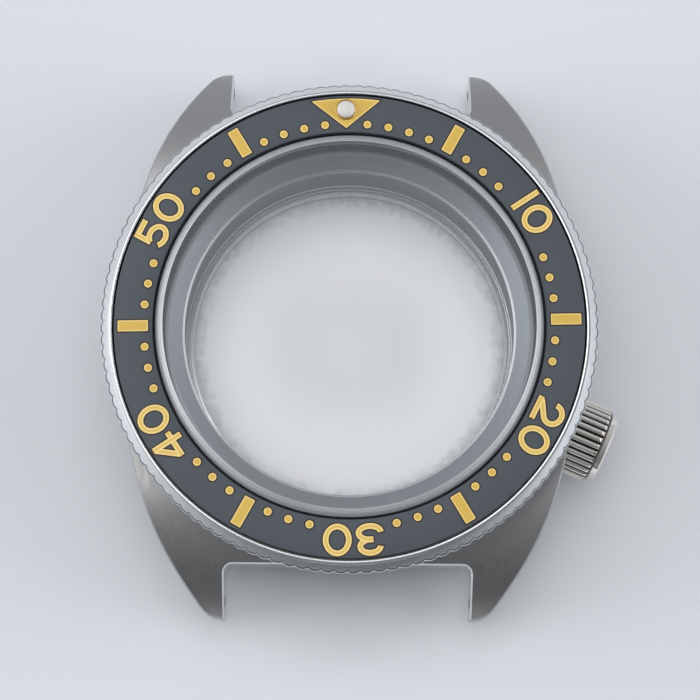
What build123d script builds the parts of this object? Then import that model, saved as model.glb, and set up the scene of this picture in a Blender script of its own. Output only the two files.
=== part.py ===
from build123d import *
import math
import os

# An empty dive watch case, in millimetres. The origin is on the case axis at the bottom of the case back,
# +Z comes out through the crystal, +Y points to 12 o'clock and +X to 3 o'clock.

os.makedirs("parts", exist_ok=True)

# Fits and tools shared by all pieces
cut_overrun = 1.0  # how far a cut runs past the metal
seat_gap = 0.01  # round seats that are pressed or glued
running_gap = 0.05  # round pieces that turn or slide in each other
o_ring_sides = 8
lobe_sides = 3  # flats that stand for one round lobe

# Mid case seen from above
case_half_width = 18.45
lug_reach = 23.05
lug_gap = 20.0
lug_length = 4.25  # from the strap gap's wall
gap_corner_radius = 0.7
shoulder_narrowing = 0.65
shoulder_from_tip = 14.05
lug_root_width = 5.2
lug_root_from_tip = 6.05
lug_corner_width = 1.95
lug_corner_from_tip = 0.85
lug_lean = 36.3  # degrees between the lug's side at that corner and the Y axis

# Mid case seen from 3 o'clock: heights over its own underside
deck_height = 6.3
deck_half_length = 12.0
lug_knee_from_tip = 5.85
lug_knee_height = 5.65
lug_tip_height = 2.7
lug_foot_from_tip = 7.55
lug_arch_from_tip = 3.65
lug_arch_rise = 0.35
lug_heel_drop = 0.4
edge_polish = 0.18  # the bright bevel along the top edges
underside_bevel = 0.2

# Spring bar holes in the lugs
bar_hole_radius = 0.5
bar_hole_depth = 1.2
bar_hole_inset = 1.44  # from the lug's tip
bar_hole_height = 1.8  # over the mid case's underside

# Neck that carries the crystal, and the bezel's bearing on its outside
neck_height = 3.15
neck_radius = 16.75
rehaut_top_radius = 14.6
rehaut_low_radius = 13.4
rehaut_drop = 0.75
rehaut_lip = 0.4
dial_seat_radius = 14.35
dial_seat_depth = 0.7
cavity_radius = 14.9

# Crystal and its gasket
crystal_radius = 15.5
crystal_thickness = 3.0
crystal_bevel = 0.62
crystal_stand = 0.35  # over the insert
gasket_wall = 0.45
gasket_foot_thickness = 0.3
gasket_foot_width = 0.6
gasket_lip_drop = 0.05  # below the top of the neck

# Bezel ring
bezel_float = 0.2  # over the deck
bezel_seat_height = 3.2  # from its underside to the floor that carries the insert
bezel_radius = 19.95
bezel_lobes = 120
lobe_depth = 0.2
shoulder_width = 0.55
shoulder_fall = 0.62
lip_width = 0.27
lip_fall = 0.1
lip_drop = 0.03  # below the insert's face
bezel_foot_bevel = 0.35
bezel_turn_at_rest = 1.4  # degrees, as the bezel was left

# Ratchet under the bezel and the sprung pin that clicks in it
ratchet_teeth = 120
ratchet_inner_radius = 17.35
ratchet_outer_radius = 18.45
ratchet_depth = 0.35
ratchet_land = 0.02
click_angle = 45.0
click_circle = 17.9
click_radius = 0.55
click_nose_radius = 0.3
click_nose_length = 0.64
click_reach = 0.19  # how far the nose stands into a notch
click_length = 2.09
click_spring_height = 1.5
click_spring_wire = 0.16
click_spring_turns = 4

# Bezel insert with its bed of adhesive, and the pip at its 12 o'clock
insert_radius = 19.0
insert_bore = 15.75
insert_thickness = 0.9
insert_edge = 0.08
insert_side_gap = 0.1
adhesive_thickness = 0.1
adhesive_inset = 0.15
adhesive_bore = 17.0
pip_circle = 17.6
pip_radius = 0.88
pip_wall = 0.17
pip_stand = 0.12
pip_floor = 0.15
pip_dome_height = 0.24
pip_depth = 0.7

# Ring of rubber between the neck and the bezel
bezel_gasket_section = 0.8
bezel_gasket_height = 1.5  # over the deck
neck_groove_depth = 0.35
groove_slack = 0.03

# Crown, on an axis that points between 3 and 4 o'clock
crown_angle = -23.0
crown_under_bezel = 0.15
pocket_floor = 18.7  # distance from the case axis
pocket_slack = 0.2
crown_seat_gap = 0.15
crown_radius = 3.15
crown_body_length = 3.65
crown_flutes = 32
flute_depth = 0.22
crown_rim_fall = 0.3
crown_rim_length = 0.5
crown_disc_radius = 2.75
crown_disc_length = 0.53
crown_disc_bevel = 0.12
crown_end_wall = 0.6

# Crown tube, pressed into the mid case
tube_radius = 1.3
tube_bore = 0.75
tube_thread_length = 1.6
tube_shoulder = 0.1  # metal between the back's thread and the tube's inner end

# Pieces inside the crown
crown_gasket_section = 0.5
crown_gasket_back = 0.75  # from the crown's inner face to its gasket's middle
washer_radius = 1.55
washer_thickness = 0.15
post_radius = 0.65
post_bore = 0.45  # threaded for the winding stem
post_bore_depth = 1.35
post_head_radius = 1.15
post_head_length = 0.3
post_shank_length = 1.45
crown_spring_wire = 0.16
crown_spring_turns = 4

# Case back: screwed ring, glass, its gasket, and the O-ring against the mid case
back_flange_radius = 17.75
back_flange_thickness = 1.3
back_flange_bevel = 0.35
back_thread_radius = 15.9
back_thread_length = 1.9
back_thread_relief = 0.35
back_glass_radius = 13.85
back_glass_thickness = 1.2
back_glass_bevel = 0.15
back_gasket_wall = 0.45
back_gasket_foot = 0.15
window_radius = 13.05
opener_slots = 6
opener_slot_width = 3.0
opener_slot_depth = 0.9
opener_slot_height = 0.8
back_seal_section = 0.8

# Heights that follow
case_bottom = back_flange_thickness
deck_z = case_bottom + deck_height
neck_top = deck_z + neck_height
bezel_bottom = deck_z + bezel_float
insert_floor = bezel_bottom + bezel_seat_height
insert_bottom = insert_floor + adhesive_thickness
insert_top = insert_bottom + insert_thickness
crystal_top = insert_top + crystal_stand
crystal_bottom = crystal_top - crystal_thickness
crystal_seat = crystal_bottom - gasket_foot_thickness
rehaut_low = crystal_seat - rehaut_drop
dial_seat = rehaut_low - rehaut_lip
cavity_top = dial_seat - dial_seat_depth
thread_top = case_bottom + back_thread_length
crown_z = bezel_bottom - crown_under_bezel - crown_radius

# Radii that follow
gasket_radius = crystal_radius + gasket_wall
bezel_bore = neck_radius + running_gap
back_neck_radius = back_thread_radius - running_gap
back_seal_radius = back_neck_radius + back_seal_section / 2 + seat_gap

# Places along the crown's axis that follow, as distances from the case axis
crown_inner = pocket_floor + crown_seat_gap
crown_body_end = crown_inner + crown_body_length
crown_end = crown_body_end + crown_disc_length
tube_inner = back_thread_radius + tube_shoulder
tube_end = pocket_floor + tube_thread_length
washer_inner = tube_end + crown_seat_gap
post_head_inner = washer_inner + washer_thickness
spring_inner = post_head_inner + post_head_length
socket_end = crown_end - crown_end_wall

crown_plane = Plane(
    origin=(0, 0, crown_z),
    x_dir=(0, 0, 1),
    z_dir=(math.cos(math.radians(crown_angle)), math.sin(math.radians(crown_angle)), 0),
)


def polar(radius, degrees):
    angle = math.radians(degrees)
    return radius * math.cos(angle), radius * math.sin(angle)


def turned(*outline):
    """Body turned about Z from an outline of (radius, height) corners."""
    profile = Polyline(*[(r, 0, z) for r, z in outline], close=True)
    return revolve(make_face(profile), Axis.Z)


def ring(inner, outer, low, high):
    return turned((inner, low), (outer, low), (outer, high), (inner, high))


def disc(radius, low, high):
    return turned((0, low), (radius, low), (radius, high), (0, high))


def o_ring(radius, section, height):
    """Rubber ring whose section is a regular polygon, this wide across its flats."""
    corner_radius = section / 2 / math.cos(math.pi / o_ring_sides)
    corners = [polar(corner_radius, 360 / o_ring_sides * (i + 0.5)) for i in range(o_ring_sides)]
    return turned(*[(radius + x, height + y) for x, y in corners])


def lobed_bar(count, peak_radius, depth, low, high):
    """Bar whose side is a ring of convex lobes that meet in sharp valleys, each lobe drawn with a few flats."""
    corners = []
    for i in range(count * lobe_sides):
        across = 2 * (i % lobe_sides) / lobe_sides - 1
        corners.append(polar(peak_radius - depth * across**2, (i / lobe_sides - 1 / 2) * 360 / count))
    side = make_face(Polyline(*corners, close=True))
    return Pos(0, 0, low) * extrude(side, amount=high - low, dir=(0, 0, 1))


def helix_arcs(radius, pitch, turns):
    """A helix as pairs of arcs, each pair a quarter turn with the helix's own direction at both ends."""
    rise = pitch / (2 * math.pi)

    def place(a):
        return Vector(radius * math.cos(a), radius * math.sin(a), rise * a)

    def direction(a):
        return Vector(-radius * math.sin(a), radius * math.cos(a), rise).normalized()

    quarter = math.pi / 2
    arcs = []
    for i in range(4 * turns):
        p0, p1 = place(i * quarter), place((i + 1) * quarter)
        t0, t1 = direction(i * quarter), direction((i + 1) * quarter)
        span, sum_t = p1 - p0, t0 + t1
        bend = 2 * (1 - t0.dot(t1))
        reach = (math.sqrt(span.dot(sum_t) ** 2 + bend * span.dot(span)) - span.dot(sum_t)) / bend
        knee0, knee1 = p0 + t0 * reach, p1 - t1 * reach
        middle = (knee0 + knee1) * 0.5
        first = TangentArc(p0, middle, tangent=t0)
        arcs.append(first)
        arcs.append(TangentArc(middle, p1, tangent=first % 1))
    return Wire(arcs)


def coil_spring(outer_radius, wire, length, turns):
    """Coil spring standing on Z = 0, wound from six-sided wire, with its wire cut off square at both ends."""
    coil_radius = outer_radius - wire / 2
    pitch = (length - wire) / turns
    path = helix_arcs(coil_radius, pitch, turns)
    section = Plane(origin=path @ 0, z_dir=path % 0) * RegularPolygon(wire / 2, 6)
    return Pos(0, 0, wire / 2) * sweep(section, path=path)


def case_prism():
    """The mid case's outline seen from above, as a tall bar: one curve to the lug's corner and a round tip."""
    shoulder = (case_half_width - shoulder_narrowing, lug_reach - shoulder_from_tip)
    root = (lug_gap / 2 + lug_root_width, lug_reach - lug_root_from_tip)
    corner = (lug_gap / 2 + lug_corner_width, lug_reach - lug_corner_from_tip)
    lean = math.radians(lug_lean)
    side = Spline((case_half_width, 0), shoulder, root, corner, tangents=[(0, 1), (-math.sin(lean), math.cos(lean))])
    tip_x = corner[0] - lug_corner_from_tip * math.tan(lean / 2 + math.pi / 4)
    tip = TangentArc(side @ 1, (tip_x, lug_reach), tangent=side % 1)
    end = Line(tip @ 1, (0, lug_reach))
    quarter = make_face([side, tip, end, Polyline((0, lug_reach), (0, 0), (case_half_width, 0))])
    half = quarter + mirror(quarter, Plane.YZ)
    whole = half + mirror(half, Plane.XZ)
    return extrude(whole, amount=deck_z + cut_overrun, dir=(0, 0, 1))


def case_side():
    """The mid case's side view, drawn with Y across and Z up and run right through in X."""
    top = Line((0, deck_z), (deck_half_length, deck_z))
    knee = (lug_reach - lug_knee_from_tip, case_bottom + lug_knee_height)
    fall = TangentArc(top @ 1, knee, tangent=(1, 0))
    slope = TangentArc(fall @ 1, (lug_reach, case_bottom + lug_tip_height), tangent=fall % 1)
    past_tip = slope @ 1 + (slope % 1) * cut_overrun
    heel = (lug_reach, case_bottom - lug_heel_drop)
    past_heel = (past_tip.X, case_bottom - lug_heel_drop)
    foot = (lug_reach - lug_foot_from_tip, case_bottom)
    arch = ThreePointArc(heel, (lug_reach - lug_arch_from_tip, case_bottom + lug_arch_rise), foot)
    end = Polyline(slope @ 1, past_tip, past_heel, heel)
    base = Polyline(foot, (0, case_bottom), (0, deck_z))
    half = make_face([top, fall, slope, end, arch, base])
    whole = half + mirror(half, Plane.YZ)
    return extrude(Plane.YZ * whole, amount=case_half_width + cut_overrun, both=True)


def strap_gap():
    """What is cut out between the lugs at 12 o'clock, with rounded inner corners."""
    length = lug_length + cut_overrun
    middle = lug_reach + cut_overrun - length / 2
    block = Pos(0, middle, deck_z / 2) * Box(lug_gap, length, deck_z + 2 * cut_overrun)
    corners = block.edges().filter_by(Axis.Z).sort_by(Axis.Y)[:2]
    return fillet(corners, gap_corner_radius)


def case_blank():
    """Mid case without its neck and cuts, its upper and lower edges bevelled."""
    gap = strap_gap()
    blank = (case_prism() & case_side()) - gap - mirror(gap, Plane.XZ)
    upper = [f for f in blank.faces() if f.normal_at().Z > 0.5]
    rim = [e for f in upper for e in f.edges() if sum(e.is_same(o) for g in upper for o in g.edges()) == 1]
    blank = chamfer(rim, edge_polish)
    lower = [f for f in blank.faces() if f.normal_at().Z < -0.5 and f.center().Z < crown_z]
    rim = [e for f in lower for e in f.edges() if sum(e.is_same(o) for g in lower for o in g.edges()) == 1]
    return chamfer(rim, underside_bevel)


def case_hollow():
    """All that is turned out of the mid case, from the back's thread up to the crystal's seat."""
    return turned(
        (0, case_bottom - cut_overrun),
        (back_thread_radius, case_bottom - cut_overrun),
        (back_thread_radius, thread_top),
        (cavity_radius, thread_top),
        (cavity_radius, cavity_top),
        (dial_seat_radius, cavity_top),
        (dial_seat_radius, dial_seat),
        (rehaut_low_radius, dial_seat),
        (rehaut_low_radius, rehaut_low),
        (rehaut_top_radius, crystal_seat),
        (gasket_radius + seat_gap, crystal_seat),
        (gasket_radius + seat_gap, neck_top + cut_overrun),
        (0, neck_top + cut_overrun),
    )


def crown_pocket():
    """Round pocket in the flank that the crown screws down into, with the holes for its tube and the stem."""
    pocket = disc(crown_radius + pocket_slack, pocket_floor, math.hypot(case_half_width, lug_reach))
    tube_hole = disc(tube_radius + seat_gap, tube_inner - seat_gap, pocket_floor + cut_overrun)
    stem_hole = disc(tube_bore, cavity_radius - cut_overrun, tube_inner)
    return crown_plane * (pocket + tube_hole + stem_hole)


def mid_case():
    body = case_blank() + disc(neck_radius, deck_z - cut_overrun, neck_top)
    body -= case_hollow()
    groove_z = deck_z + bezel_gasket_height
    groove_half = bezel_gasket_section / 2 + groove_slack
    groove_floor = neck_radius - neck_groove_depth
    body -= ring(groove_floor, neck_radius + cut_overrun, groove_z - groove_half, groove_z + groove_half)
    seal_wall = back_neck_radius + back_seal_section + 2 * seat_gap
    seal_top = case_bottom + back_seal_section + seat_gap
    body -= ring(cavity_radius, seal_wall, case_bottom - cut_overrun, seal_top)
    body -= crown_pocket()
    x, y = polar(click_circle, click_angle)
    hole_floor = click_pin_bottom() - click_spring_height
    body -= Pos(x, y, 0) * disc(click_radius + running_gap, hole_floor, deck_z + cut_overrun)
    return body - bar_holes()


def bar_holes():
    """The four blind holes that hold a strap's spring bars."""
    y = lug_reach - bar_hole_inset
    z = case_bottom + bar_hole_height
    bar = Pos(0, y, z) * Rot(0, 90, 0) * Cylinder(bar_hole_radius, lug_gap + 2 * bar_hole_depth)
    return bar + mirror(bar, Plane.XZ)


def crystal():
    flat = crystal_radius - crystal_bevel
    return turned(
        (0, crystal_bottom),
        (crystal_radius, crystal_bottom),
        (crystal_radius, crystal_top - crystal_bevel),
        (flat, crystal_top),
        (0, crystal_top),
    )


def crystal_gasket():
    foot = crystal_radius - gasket_foot_width
    return turned(
        (foot, crystal_seat),
        (gasket_radius, crystal_seat),
        (gasket_radius, neck_top - gasket_lip_drop),
        (crystal_radius + seat_gap, neck_top - gasket_lip_drop),
        (crystal_radius + seat_gap, crystal_bottom),
        (foot, crystal_bottom),
    )


def bezel_blank():
    """Bezel ring as turned: bore, gasket groove, insert recess, bright lip, sloping shoulder and foot."""
    recess = insert_radius + insert_side_gap
    lip_top = insert_top - lip_drop
    lip_outer = recess + lip_width
    shoulder_top = lip_top - lip_fall
    shoulder_outer = lip_outer + shoulder_width
    groove_z = deck_z + bezel_gasket_height
    groove_half = bezel_gasket_section / 2 + groove_slack
    groove_radius = neck_radius - neck_groove_depth + bezel_gasket_section + 2 * groove_slack
    blank = turned(
        (bezel_bore, bezel_bottom),
        (bezel_radius - bezel_foot_bevel, bezel_bottom),
        (bezel_radius, bezel_bottom + bezel_foot_bevel),
        (bezel_radius, shoulder_top - shoulder_fall - (bezel_radius - shoulder_outer)),
        (shoulder_outer, shoulder_top - shoulder_fall),
        (lip_outer, shoulder_top),
        (recess, lip_top),
        (recess, insert_floor),
        (bezel_bore, insert_floor),
    )
    return blank - ring(cavity_radius, groove_radius, groove_z - groove_half, groove_z + groove_half)


def ratchet_cuts():
    """Saw-tooth notches for the bezel's underside; their steep walls stop it from turning clockwise."""
    pitch = 2 * math.pi * click_circle / ratchet_teeth
    ramp = pitch - ratchet_land
    length = ratchet_outer_radius - ratchet_inner_radius
    shape = Polyline((0, -cut_overrun), (0, ratchet_depth), (-ramp, 0), (-ramp, -cut_overrun), close=True)
    face = Plane(origin=(ratchet_inner_radius, 0, bezel_bottom), x_dir=(0, 1, 0), z_dir=(1, 0, 0)) * make_face(shape)
    notch = Pos(0, click_nose_radius, 0) * extrude(face, amount=length)
    return [Rot(0, 0, click_angle + 360 / ratchet_teeth * i) * notch for i in range(ratchet_teeth)]


def bezel_ring():
    lobes = lobed_bar(bezel_lobes, bezel_radius, lobe_depth, bezel_bottom - cut_overrun, insert_top + cut_overrun)
    body = Rot(0, 0, bezel_turn_at_rest) * (bezel_blank() & lobes)
    return body - ratchet_cuts()


def bezel_insert():
    low, high = insert_bottom, insert_top
    body = turned(
        (insert_bore, low),
        (insert_radius, low),
        (insert_radius, high - insert_edge),
        (insert_radius - insert_edge, high),
        (insert_bore + insert_edge, high),
        (insert_bore, high - insert_edge),
    )
    body -= Pos(0, pip_circle, 0) * disc(pip_radius + seat_gap, high - pip_depth, high + cut_overrun)
    return Rot(0, 0, bezel_turn_at_rest) * body


def insert_adhesive():
    return ring(adhesive_bore, insert_radius - adhesive_inset, insert_floor, insert_bottom)


def on_pip_circle(shape):
    return Rot(0, 0, bezel_turn_at_rest) * Pos(0, pip_circle, insert_top - pip_depth) * shape


def pip_cup():
    """Gilt cup let into the insert, its rim standing a little proud."""
    rim = pip_depth + pip_stand
    lume = pip_radius - pip_wall
    return on_pip_circle(
        turned(
            (0, 0),
            (pip_radius, 0),
            (pip_radius, rim - pip_wall / 2),
            (pip_radius - pip_wall / 2, rim),
            (lume, rim),
            (lume, pip_floor),
            (0, pip_floor),
        )
    )


def lume_pip():
    """Luminous pearl: a plug that fills the cup, with a domed top."""
    radius = pip_radius - pip_wall - seat_gap
    rim = pip_depth + pip_stand
    dome = ThreePointArc((radius, 0, rim), polar_up(radius, pip_dome_height, rim), (0, 0, rim + pip_dome_height))
    sides = Polyline((0, 0, rim + pip_dome_height), (0, 0, pip_floor), (radius, 0, pip_floor), (radius, 0, rim))
    return on_pip_circle(revolve(make_face([dome, sides]), Axis.Z))


def polar_up(radius, rise, base):
    """Point halfway along the arc of a dome with this radius and rise."""
    sphere = (radius**2 + rise**2) / (2 * rise)
    half = math.asin(radius / sphere) / 2
    return sphere * math.sin(half), 0, base + rise - sphere * (1 - math.cos(half))


def bezel_gasket():
    centre = neck_radius - neck_groove_depth + bezel_gasket_section / 2 + seat_gap
    return o_ring(centre, bezel_gasket_section, deck_z + bezel_gasket_height)


def click_pin_bottom():
    return bezel_bottom + click_reach - click_length


def click_pin():
    """Pin with a thinner round nose, which stands in one notch of the ratchet."""
    x, y = polar(click_circle, click_angle)
    low = click_pin_bottom()
    top = low + click_length
    centre = top - click_nose_radius
    shank = disc(click_radius, low, top - click_nose_length)
    nose = disc(click_nose_radius, top - click_nose_length, centre) + Pos(0, 0, centre) * Sphere(click_nose_radius)
    return Pos(x, y, 0) * (shank + nose)


def click_spring():
    x, y = polar(click_circle, click_angle)
    low = click_pin_bottom() - click_spring_height
    return Pos(x, y, low) * coil_spring(click_radius, click_spring_wire, click_spring_height, click_spring_turns)


def crown_tube():
    return crown_plane * ring(tube_bore, tube_radius, tube_inner, tube_end)


def crown_head():
    """Fluted crown: thread bore, gasket groove, washer seat and spring socket inside, polished disc outside."""
    rim_radius = crown_radius - crown_rim_fall
    body = turned(
        (0, crown_inner),
        (rim_radius, crown_inner),
        (crown_radius, crown_inner + crown_rim_fall),
        (crown_radius, crown_body_end - crown_rim_length),
        (rim_radius, crown_body_end),
        (0, crown_body_end),
    )
    body &= lobed_bar(crown_flutes, crown_radius, flute_depth, crown_inner - cut_overrun, crown_end)
    body += turned(
        (0, crown_body_end - crown_rim_length),
        (crown_disc_radius, crown_body_end - crown_rim_length),
        (crown_disc_radius, crown_end - crown_disc_bevel),
        (crown_disc_radius - crown_disc_bevel, crown_end),
        (0, crown_end),
    )
    groove_half = crown_gasket_section / 2 + seat_gap
    groove_z = crown_inner + crown_gasket_back
    groove_radius = tube_radius + running_gap + crown_gasket_section + seat_gap
    body -= turned(
        (0, crown_inner - cut_overrun),
        (tube_radius + running_gap, crown_inner - cut_overrun),
        (tube_radius + running_gap, groove_z - groove_half),
        (groove_radius, groove_z - groove_half),
        (groove_radius, groove_z + groove_half),
        (tube_radius + running_gap, groove_z + groove_half),
        (tube_radius + running_gap, washer_inner),
        (washer_radius + seat_gap, washer_inner),
        (washer_radius + seat_gap, post_head_inner),
        (post_head_radius + running_gap, post_head_inner),
        (post_head_radius + running_gap, socket_end),
        (0, socket_end),
    )
    return crown_plane * body


def crown_gasket():
    centre = tube_radius + running_gap + crown_gasket_section / 2
    return crown_plane * o_ring(centre, crown_gasket_section, crown_inner + crown_gasket_back)


def crown_washer():
    return crown_plane * ring(post_radius + running_gap, washer_radius, washer_inner, post_head_inner)


def crown_post():
    """Sprung post that a winding stem screws into: a shank in the tube and a head behind the washer."""
    mouth = post_head_inner - post_shank_length
    body = disc(post_radius, mouth, spring_inner) + disc(post_head_radius, post_head_inner, spring_inner)
    return crown_plane * (body - disc(post_bore, mouth, mouth + post_bore_depth))


def crown_spring():
    length = socket_end - spring_inner
    spring = coil_spring(post_head_radius, crown_spring_wire, length, crown_spring_turns)
    return crown_plane * Pos(0, 0, spring_inner) * spring


def caseback_ring():
    """Screwed back: bevelled flange with slots for the opener, threaded neck, and a lip above the glass."""
    glass_wall = back_glass_radius + back_gasket_wall
    lip_bottom = back_glass_thickness + back_gasket_foot
    body = turned(
        (glass_wall, 0),
        (back_flange_radius - back_flange_bevel, 0),
        (back_flange_radius, back_flange_bevel),
        (back_flange_radius, case_bottom),
        (back_neck_radius, case_bottom),
        (back_neck_radius, thread_top - back_thread_relief),
        (window_radius, thread_top - back_thread_relief),
        (window_radius, lip_bottom),
        (glass_wall, lip_bottom),
    )
    slot = Pos(back_flange_radius, 0, 0) * Box(2 * opener_slot_depth, opener_slot_width, 2 * opener_slot_height)
    return body - [Rot(0, 0, 360 / opener_slots * (i + 0.5)) * slot for i in range(opener_slots)]


def caseback_glass():
    """Display glass, pressed in from outside, flush with the flange."""
    return turned(
        (0, 0),
        (back_glass_radius - back_glass_bevel, 0),
        (back_glass_radius, back_glass_bevel),
        (back_glass_radius, back_glass_thickness),
        (0, back_glass_thickness),
    )


def caseback_glass_gasket():
    """Gasket round the glass, with a foot between the glass and the ring's lip."""
    inner = back_glass_radius + seat_gap
    outer = back_glass_radius + back_gasket_wall - seat_gap
    return turned(
        (inner, back_glass_bevel),
        (outer, back_glass_bevel),
        (outer, back_glass_thickness + back_gasket_foot),
        (window_radius, back_glass_thickness + back_gasket_foot),
        (window_radius, back_glass_thickness),
        (inner, back_glass_thickness),
    )


def caseback_seal():
    return o_ring(back_seal_radius, back_seal_section, case_bottom + back_seal_section / 2)


pieces = [
    mid_case,
    crystal,
    crystal_gasket,
    bezel_ring,
    bezel_insert,
    insert_adhesive,
    pip_cup,
    lume_pip,
    bezel_gasket,
    click_pin,
    click_spring,
    crown_tube,
    crown_head,
    crown_gasket,
    crown_washer,
    crown_post,
    crown_spring,
    caseback_ring,
    caseback_glass,
    caseback_glass_gasket,
    caseback_seal,
]

for piece in pieces:
    export_step(piece(), f"parts/{piece.__name__}.step")
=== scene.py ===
import bpy
import bmesh
import math
import numpy as np
from mathutils import Matrix, Vector, geometry


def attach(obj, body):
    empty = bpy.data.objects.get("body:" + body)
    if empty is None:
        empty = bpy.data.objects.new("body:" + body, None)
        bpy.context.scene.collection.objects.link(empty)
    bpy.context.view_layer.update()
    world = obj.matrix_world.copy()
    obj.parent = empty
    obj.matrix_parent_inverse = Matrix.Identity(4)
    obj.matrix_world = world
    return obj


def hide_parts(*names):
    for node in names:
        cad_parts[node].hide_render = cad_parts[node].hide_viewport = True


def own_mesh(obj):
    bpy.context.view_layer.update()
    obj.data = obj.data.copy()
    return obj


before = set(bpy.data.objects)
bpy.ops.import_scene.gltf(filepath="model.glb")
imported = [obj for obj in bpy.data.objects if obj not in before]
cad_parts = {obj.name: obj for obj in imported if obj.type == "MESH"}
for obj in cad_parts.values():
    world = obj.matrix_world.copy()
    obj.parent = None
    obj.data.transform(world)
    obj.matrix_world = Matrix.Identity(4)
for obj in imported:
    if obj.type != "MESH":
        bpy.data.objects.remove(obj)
scene = bpy.context.scene
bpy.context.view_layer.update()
print("frame loaded:", len(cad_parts), "nodes")

mm = 0.001   # all sizes below are in millimetres
tiny = 1e-6
fullTurn = 2 * math.pi
sharpAngle = math.radians(26)   # edges that turn more than this stay crisp


# small helpers

def polar(radius, degrees):
    angle = math.radians(degrees)
    return radius * math.cos(angle), radius * math.sin(angle)


def newObject(name, data):
    obj = bpy.data.objects.new(name, data)
    scene.collection.objects.link(obj)
    return obj


def finishMesh(mesh, place=None):   # doubles merged, faces outward and smooth, hard lines where the surface turns
    weldDistance, leastEdge = 1e-8, 1e-9
    bm = bmesh.new()
    bm.from_mesh(mesh)
    bmesh.ops.remove_doubles(bm, verts=bm.verts, dist=weldDistance)
    bmesh.ops.dissolve_degenerate(bm, edges=bm.edges, dist=leastEdge)
    bmesh.ops.recalc_face_normals(bm, faces=bm.faces)
    for face in bm.faces:
        face.smooth = True
    for edge in bm.edges:
        if len(edge.link_faces) == 2:
            edge.smooth = edge.calc_face_angle(0.0) < sharpAngle
    bm.to_mesh(mesh)
    bm.free()
    if place is not None:
        mesh.transform(place)
    mesh.update()


def rawMesh(name, points, faces, materials):
    mesh = bpy.data.meshes.new(name)
    mesh.from_pydata([(x * mm, y * mm, z * mm) for x, y, z in points], [], faces)
    for material in materials:
        mesh.materials.append(material)
    return mesh


def neighbours(loop):   # each point of a closed loop between the one before it and the one after it
    points = [Vector(p) for p in loop]
    return zip(points[-1:] + points[:-1], points, points[1:] + points[:1])


def roundCorners(outline, radius):   # each corner of a closed (radius, height) outline gets a small arc
    steps, mostOfSide, nearlyStraight, leastReach = 3, 0.45, 3.1, 1e-4
    result = []
    for before, here, after in neighbours(outline):
        toBefore, toAfter = before - here, after - here
        angle = toBefore.angle(toAfter) if here.x >= tiny and radius > 0 else math.pi
        room = mostOfSide * min(toBefore.length, toAfter.length)
        reach = min(radius / math.tan(angle / 2), room) if angle < nearlyStraight else 0
        if reach < leastReach:
            result.append(tuple(here))
            continue
        start, end = here + toBefore.normalized() * reach, here + toAfter.normalized() * reach
        for k in range(steps + 1):
            t = k / steps
            result.append(tuple(start * (1 - t) ** 2 + here * 2 * t * (1 - t) + end * t * t))
    return result


def evenly(start, end, count):   # points along a line, both ends included
    return [tuple(p) for p in np.linspace(start, end, count)]


def box(inner, outer, low, high):
    return [(inner, low), (outer, low), (outer, high), (inner, high)]


def bandFaces(a, b):   # between two closed loops of point numbers
    count = len(a)
    return [(a[i], a[(i + 1) % count], b[(i + 1) % count], b[i]) for i in range(count)]


def turnedMesh(name, outline, segments, material, soft=0.0):   # turned about Z from a closed (radius, height) outline
    outline = roundCorners(outline, soft)
    rows = len(outline)
    points, faces = [], []
    for i in range(segments):
        c, s = math.cos(fullTurn * i / segments), math.sin(fullTurn * i / segments)
        points += [(r * c, r * s, z) for r, z in outline]
    for i in range(segments):
        here, there = i * rows, (i + 1) % segments * rows
        for k in range(rows):
            n = (k + 1) % rows
            if outline[k][0] < tiny and outline[n][0] < tiny:
                continue   # along the axis
            faces.append((here + k, there + k, there + n, here + n))
    return rawMesh(name, points, faces, [material])


def dress(obj, body, nodes):
    if nodes:
        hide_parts(*nodes)
    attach(obj, body)
    return obj


def settle(obj, body, nodes, place=None):
    finishMesh(obj.data, place)
    return dress(obj, body, nodes)


def turned(name, outline, material, body, nodes, soft=0.03, segments=256, place=None):
    mesh = turnedMesh(name, outline, segments, material, soft)
    return settle(newObject(name, mesh), body, nodes, place)


def applyModifier(obj, modifier, name):   # what the modifier makes becomes the object's mesh
    bpy.context.view_layer.update()
    depsgraph = bpy.context.evaluated_depsgraph_get()
    evaluated = obj.evaluated_get(depsgraph)
    mesh = bpy.data.meshes.new_from_object(evaluated, preserve_all_data_layers=True, depsgraph=depsgraph)
    mesh.name = name
    obj.modifiers.remove(modifier)
    obj.data = mesh
    return obj


def cut(obj, cutter):
    modifier = obj.modifiers.new("cut", "BOOLEAN")
    modifier.operation, modifier.solver, modifier.object = "DIFFERENCE", "EXACT", cutter
    applyModifier(obj, modifier, obj.data.name)
    bpy.data.objects.remove(cutter)


# node building, shared by the Geometry Nodes trees, the materials and the sky

class Value:   # a node's output to calculate with; each result is a node's output again
    def __init__(self, graph, socket):
        self.graph, self.socket = graph, socket

    def calc(self, operation, *others):
        return self.graph.calc(operation, self, *others)

    __add__ = lambda self, other: self.calc("ADD", other)
    __sub__ = lambda self, other: self.calc("SUBTRACT", other)
    __mul__ = lambda self, other: self.calc("MULTIPLY", other)
    __truediv__ = lambda self, other: self.calc("DIVIDE", other)


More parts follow.
